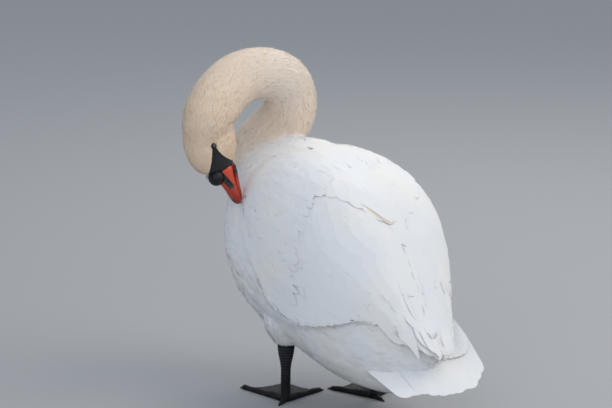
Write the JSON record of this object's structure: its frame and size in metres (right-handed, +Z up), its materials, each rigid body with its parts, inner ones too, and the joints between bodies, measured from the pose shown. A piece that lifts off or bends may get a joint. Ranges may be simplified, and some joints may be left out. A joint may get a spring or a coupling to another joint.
{
  "type": "mute swan",
  "caption": "Life-size still model of a mute swan that stands on both feet and preens its shoulder, with its neck arched back over its left side.",
  "frame": {"origin": "middle of the base of the bounding box, on the floor under the breast", "axes": "+X to the bird's left, +Y from breast to tail, +Z up"},
  "size_m": [0.433, 0.684, 0.6962],
  "materials": {
    "plumage": "soft matte feathers",
    "neck_plumage": "soft matte feathers, stained buff",
    "bill": "smooth horn, satin",
    "black_skin": "bare skin, satin",
    "eye": "wet gloss",
    "leg": "scaled skin, satin"
  },
  "bodies": {
    "root": {"trunk": "plumage", "wing_left": "plumage", "wing_right": "plumage", "tail": "plumage", "thigh_left": "plumage", "thigh_right": "plumage", "neck_base": "neck_plumage", "neck_lower": "neck_plumage", "neck_arch": "neck_plumage", "neck_upper": "neck_plumage", "head": "neck_plumage", "bill_upper": "bill", "bill_lower": "bill", "bill_knob": "black_skin", "eye_left": "eye", "eye_right": "eye", "shank_left": "leg", "shank_right": "leg", "foot_left": "leg", "foot_right": "leg", "claw_left_1": "leg", "claw_left_2": "leg", "claw_left_3": "leg", "claw_left_4": "leg", "claw_right_1": "leg", "claw_right_2": "leg", "claw_right_3": "leg", "claw_right_4": "leg"}
  },
  "joints": []
}
